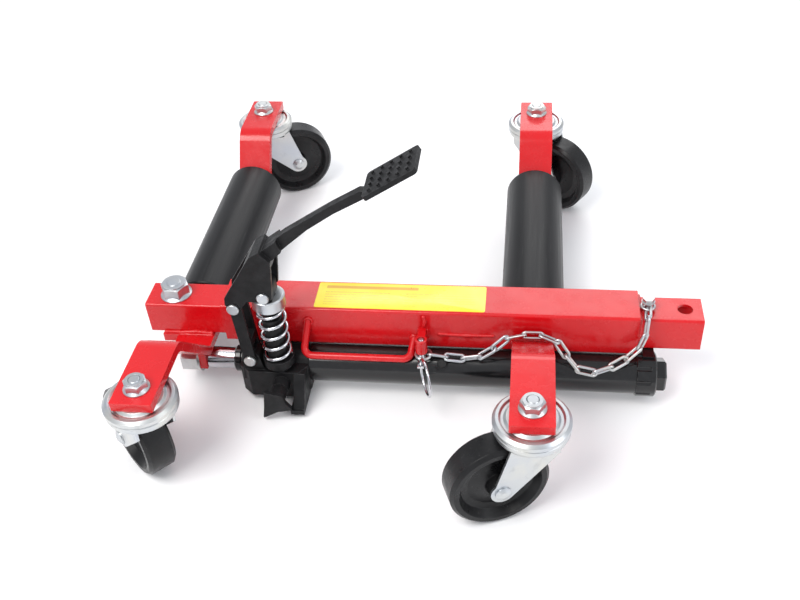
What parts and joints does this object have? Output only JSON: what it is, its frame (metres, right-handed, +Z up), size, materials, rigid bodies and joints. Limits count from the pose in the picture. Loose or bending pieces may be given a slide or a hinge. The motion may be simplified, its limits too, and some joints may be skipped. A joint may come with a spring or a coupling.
{
  "type": "wheel dolly",
  "caption": "Hydraulic wheel dolly: a telescoping red rail with two rollers, a pull ram worked by a foot pedal and swivel casters.",
  "frame": {"origin": "on the floor, under the centre of the whole dolly", "axes": "+X along the rail towards the fixed end stub, +Y from the pump side towards the rollers, +Z up"},
  "size_m": [0.6235, 0.6412, 0.3147],
  "materials": {
    "red_paint": "glossy powder coat",
    "roller_paint": "satin black paint",
    "black_gloss": "gloss black enamel",
    "black_cast": "matte black paint on casting",
    "zinc": "bright zinc plate",
    "chrome": "polished",
    "nylon": "matte",
    "bare_steel": "turned",
    "wheel_plastic": "moulded, slight sheen"
  },
  "bodies": {
    "fixed_frame": {"outer_tube": "red_paint", "end_stub": "red_paint", "front_bracket_right": "red_paint", "rear_bracket_right": "red_paint", "roller_shaft_right": "bare_steel", "carry_handle": "red_paint", "ram_cylinder": "black_gloss", "ram_collar": "black_gloss", "ram_end_plug": "black_gloss", "ram_lug": "black_gloss", "pump_block": "black_cast", "gland_nut": "black_gloss", "filler_plug": "black_cast", "link_foot_pin": "zinc", "lock_chain": "zinc", "chain_bolt": "zinc", "pin_socket": "red_paint", "caster_bolts_right": "zinc", "caster_nuts_right": "zinc", "caster_cups_right": "zinc"},
    "slide_frame": {"inner_tube": "red_paint", "rod_hanger": "red_paint", "front_bracket_left": "red_paint", "rear_bracket_left": "red_paint", "roller_shaft_left": "bare_steel", "piston_rod": "chrome", "ram_piston": "bare_steel", "rod_nut": "zinc", "anchor_bolt": "zinc", "caster_bolts_left": "zinc", "caster_nuts_left": "zinc", "caster_cups_left": "zinc"},
    "roller_left_body": {"roller_left": "roller_paint", "roller_bushes_left": "nylon"},
    "roller_right_body": {"roller_right": "roller_paint", "roller_bushes_right": "nylon"},
    "link_body": {"pedal_link": "black_cast", "link_top_pin": "zinc"},
    "pedal_body": {"pedal_lever": "black_cast", "pedal_tread": "black_cast"},
    "plunger_body": {"plunger": "black_cast", "plunger_cup": "zinc", "plunger_pin": "zinc", "return_spring": "chrome"},
    "release_body": {"release_pedal": "black_cast"},
    "lock_pin_body": {"lock_pin": "chrome"},
    "ring_body": {"pin_ring": "chrome"},
    "swivel_front_left": {"fork_front_left": "zinc", "axle_front_left": "zinc"},
    "wheel_front_left_body": {"wheel_front_left": "wheel_plastic"},
    "swivel_front_right": {"fork_front_right": "zinc", "axle_front_right": "zinc"},
    "wheel_front_right_body": {"wheel_front_right": "wheel_plastic"},
    "swivel_rear_left": {"fork_rear_left": "zinc", "axle_rear_left": "zinc"},
    "wheel_rear_left_body": {"wheel_rear_left": "wheel_plastic"},
    "swivel_rear_right": {"fork_rear_right": "zinc", "axle_rear_right": "zinc"},
    "wheel_rear_right_body": {"wheel_rear_right": "wheel_plastic"}
  },
  "joints": [
    {"name": "rail_slide", "type": "slide", "parent": "fixed_frame", "child": "slide_frame", "axis": [-1, 0, 0], "range_m": [0, 0.215]},
    {"name": "roller_left_spin", "type": "hinge", "parent": "slide_frame", "child": "roller_left_body", "pos_m": [-0.24, -0.09, 0.065], "axis": [0, 1, 0], "continuous": true},
    {"name": "roller_right_spin", "type": "hinge", "parent": "fixed_frame", "child": "roller_right_body", "pos_m": [0.137, -0.09, 0.065], "axis": [0, 1, 0], "continuous": true},
    {"name": "link_swing", "type": "hinge", "parent": "fixed_frame", "child": "link_body", "pos_m": [-0.167, -0.142, 0.062], "axis": [0, 1, 0], "range_deg": [-2.24, 0]},
    {"name": "pedal_press", "type": "hinge", "parent": "link_body", "child": "pedal_body", "pos_m": [-0.172, -0.142, 0.139], "axis": [0, 1, 0], "range_deg": [0, 40], "stiffness_Nm_per_rad": 8},
    {"name": "plunger_stroke", "type": "slide", "parent": "fixed_frame", "child": "plunger_body", "axis": [0, 0, -1], "range_m": [0, 0.02423], "deforming": ["return_spring"]},
    {"name": "release_turn", "type": "hinge", "parent": "fixed_frame", "child": "release_body", "pos_m": [-0.136, -0.166, 0.03], "axis": [0, 1, 0], "range_deg": [0, 40]},
    {"name": "lock_pin_turn", "type": "hinge", "parent": "fixed_frame", "child": "lock_pin_body", "pos_m": [0.019, -0.134, 0.07], "axis": [0, 0, 1], "range_deg": [-30, 30]},
    {"name": "ring_turn", "type": "hinge", "parent": "lock_pin_body", "child": "ring_body", "pos_m": [0.02584, -0.16479, 0.0564], "axis": [0.9397, 0.342, 0], "continuous": true},
    {"name": "swivel_front_left_turn", "type": "hinge", "parent": "slide_frame", "child": "swivel_front_left", "pos_m": [-0.24, -0.271, 0.105], "axis": [0, 0, 1], "continuous": true},
    {"name": "wheel_front_left_spin", "type": "hinge", "parent": "swivel_front_left", "child": "wheel_front_left_body", "pos_m": [-0.26518, -0.24669, 0.05], "axis": [0.6947, 0.7193, 0], "continuous": true},
    {"name": "swivel_front_right_turn", "type": "hinge", "parent": "fixed_frame", "child": "swivel_front_right", "pos_m": [0.137, -0.275, 0.105], "axis": [0, 0, 1], "continuous": true},
    {"name": "wheel_front_right_spin", "type": "hinge", "parent": "swivel_front_right", "child": "wheel_front_right_body", "pos_m": [0.10455, -0.28811, 0.05], "axis": [-0.3746, 0.9272, 0], "continuous": true},
    {"name": "swivel_rear_left_turn", "type": "hinge", "parent": "slide_frame", "child": "swivel_rear_left", "pos_m": [-0.24, 0.274, 0.105], "axis": [0, 0, 1], "continuous": true},
    {"name": "wheel_rear_left_spin", "type": "hinge", "parent": "swivel_rear_left", "child": "wheel_rear_left_body", "pos_m": [-0.20803, 0.28824, 0.05], "axis": [0.4067, -0.9135, 0], "continuous": true},
    {"name": "swivel_rear_right_turn", "type": "hinge", "parent": "fixed_frame", "child": "swivel_rear_right", "pos_m": [0.137, 0.274, 0.105], "axis": [0, 0, 1], "continuous": true},
    {"name": "wheel_rear_right_spin", "type": "hinge", "parent": "swivel_rear_right", "child": "wheel_rear_right_body", "pos_m": [0.16668, 0.25545, 0.05], "axis": [-0.5299, -0.848, 0], "continuous": true}
  ],
  "couplings": [
    {"joint": "link_swing", "follows": "pedal_press", "ratio": -0.056},
    {"joint": "plunger_stroke", "follows": "pedal_press", "m_per_rad": 0.0347}
  ]
}
